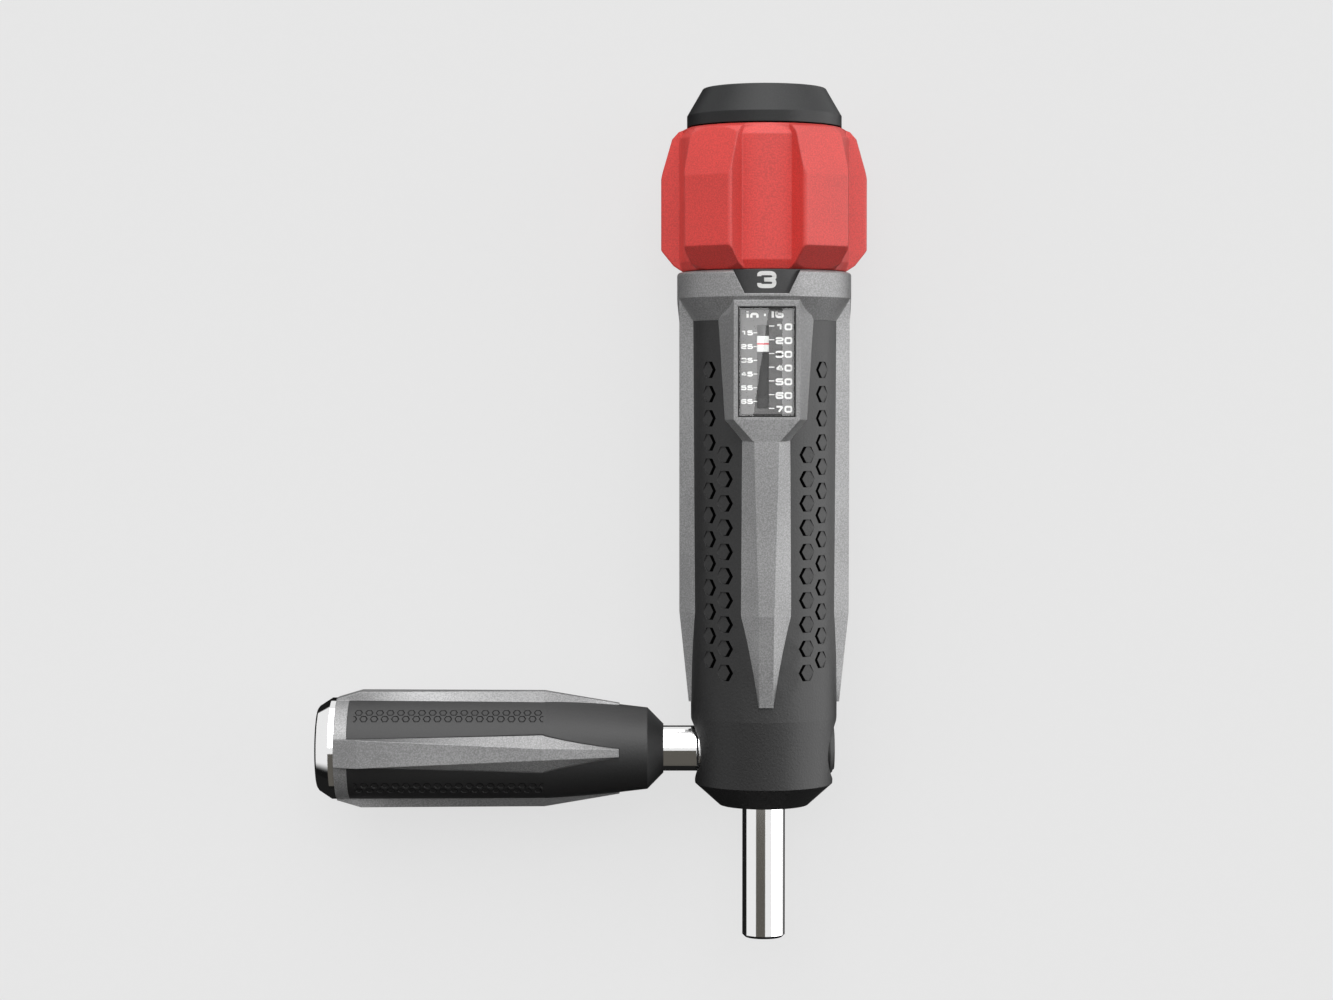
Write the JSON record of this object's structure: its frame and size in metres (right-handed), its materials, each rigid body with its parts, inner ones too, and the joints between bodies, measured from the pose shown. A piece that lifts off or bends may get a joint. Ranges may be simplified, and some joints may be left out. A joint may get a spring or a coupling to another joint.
{
  "type": "torque screwdriver",
  "caption": "Adjustable torque screwdriver with a window scale, lobed setting knob, swivel palm cap, hex bit socket and screw-in side handle, lying on its back.",
  "frame": {"origin": "centre of the bit socket's mouth, on the main axis at the tip of the drive shaft", "axes": "+Y along the main axis from the tip towards the knob, +Z out of the window side (up, as the tool lies), -X along the side handle"},
  "size_m": [0.1234, 0.1906, 0.0441],
  "materials": {
    "grey_moulding": "satin, fine metallic grain",
    "grip_rubber": "matt, fine grain",
    "black_rubber": "matt",
    "clear_lens": "polished",
    "scale_paint": "satin",
    "steel": "machined",
    "bright_steel": "polished",
    "black_steel": "blackened",
    "spring_steel": "oiled",
    "bronze": "machined",
    "chrome_plate": "polished plating",
    "red_moulding": "soft gloss",
    "black_moulding": "matt",
    "white_moulding": "matt",
    "dark_moulding": "satin"
  },
  "bodies": {
    "housing": {"housing_shell": "grey_moulding", "grip_sleeve": "grip_rubber", "window_gasket": "black_rubber", "window_lens": "clear_lens", "scale_plate": "scale_paint", "barrel": "steel", "barrel_pins": "steel", "socket_hub": "steel", "nose_bush": "bronze", "port_plug": "black_rubber", "lower_washer": "bronze", "clutch_balls": "bright_steel", "ball_carrier": "steel", "main_spring": "spring_steel", "upper_washer": "bronze", "top_bearing_plate": "steel", "plate_screws": "black_steel", "detent_ball": "bright_steel", "detent_spring": "spring_steel"},
    "drive": {"drive_shaft": "chrome_plate", "bit_magnet": "bright_steel"},
    "knob": {"adjusting_knob": "red_moulding", "units_dial": "black_moulding", "dial_screws": "black_steel", "lead_screw": "steel", "knob_washer": "steel", "knob_nut": "steel", "cap_snap_ring": "spring_steel"},
    "indicator": {"spring_nut": "black_steel", "pointer": "white_moulding"},
    "cap": {"palm_cap": "dark_moulding", "cap_washer": "white_moulding"},
    "side_handle": {"handle_core": "grey_moulding", "handle_grip": "grip_rubber", "handle_rod": "chrome_plate", "handle_washer": "steel", "handle_nut": "steel", "handle_end_cap": "chrome_plate"}
  },
  "joints": [
    {"name": "knob_turn", "type": "hinge", "parent": "housing", "child": "knob", "pos_m": [0, 0.1655, 0], "axis": [0, -1, 0], "range_deg": [-468, 1692]},
    {"name": "indicator_travel", "type": "slide", "parent": "housing", "child": "indicator", "axis": [0, -1, 0], "range_m": [-0.0039, 0.0141], "deforming": ["main_spring"]},
    {"name": "palm_cap_spin", "type": "hinge", "parent": "knob", "child": "cap", "pos_m": [0, 0.1863, 0], "axis": [0, 1, 0], "continuous": true},
    {"name": "drive_shaft_slip", "type": "hinge", "parent": "housing", "child": "drive", "pos_m": [0, 0.03, 0], "axis": [0, 1, 0], "continuous": true},
    {"name": "side_handle_pull", "type": "slide", "parent": "housing", "child": "side_handle", "axis": [-1, 0, 0], "range_m": [0, 0.014]}
  ],
  "couplings": [
    {"joint": "indicator_travel", "follows": "knob_turn", "m_per_rad": 0.00047746}
  ]
}
